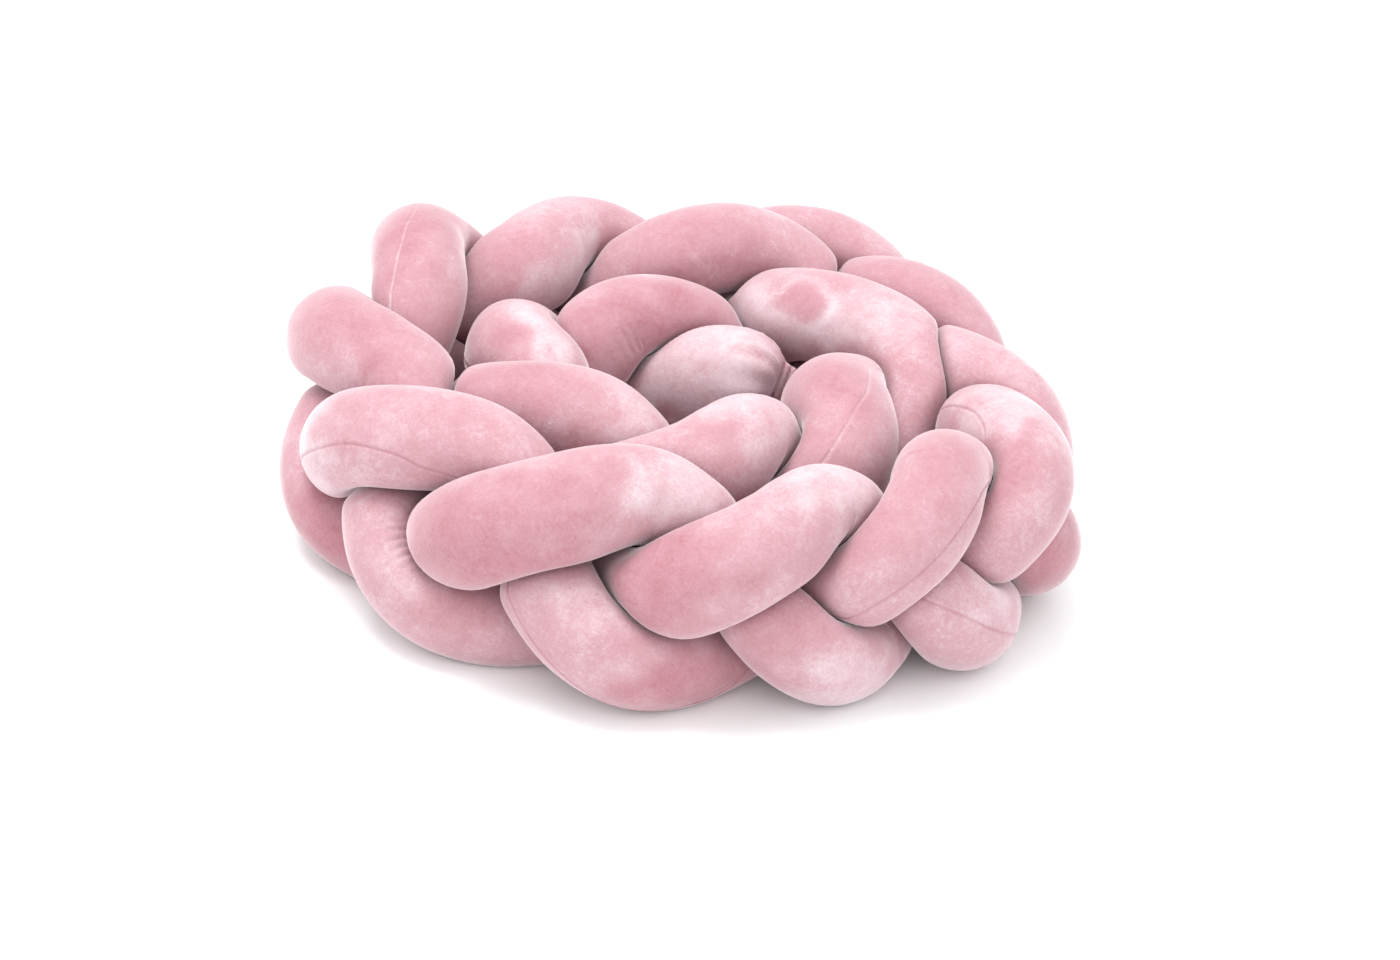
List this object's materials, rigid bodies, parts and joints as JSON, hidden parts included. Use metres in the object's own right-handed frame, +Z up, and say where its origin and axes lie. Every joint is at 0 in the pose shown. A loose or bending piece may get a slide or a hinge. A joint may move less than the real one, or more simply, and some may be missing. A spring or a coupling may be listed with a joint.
{
  "type": "plaited crib bumper",
  "caption": "Crib bumper plaited from plump stuffed velvet tubes, coiled on its edge into a spiral; unrolled, it pads the rails round the inside of a cot.",
  "frame": {"origin": "on the floor, under the middle of the coil's box", "axes": "+Z up from the floor; -Y faces the side that the picture shows, with +X to its right"},
  "size_m": [0.5359, 0.5491, 0.1738],
  "materials": {
    "velvet": "dusty pink velvet with a short brushed pile and a soft sheen"
  },
  "bodies": {
    "root": {"strand_1": "velvet", "strand_2": "velvet", "strand_3": "velvet"}
  },
  "joints": []
}
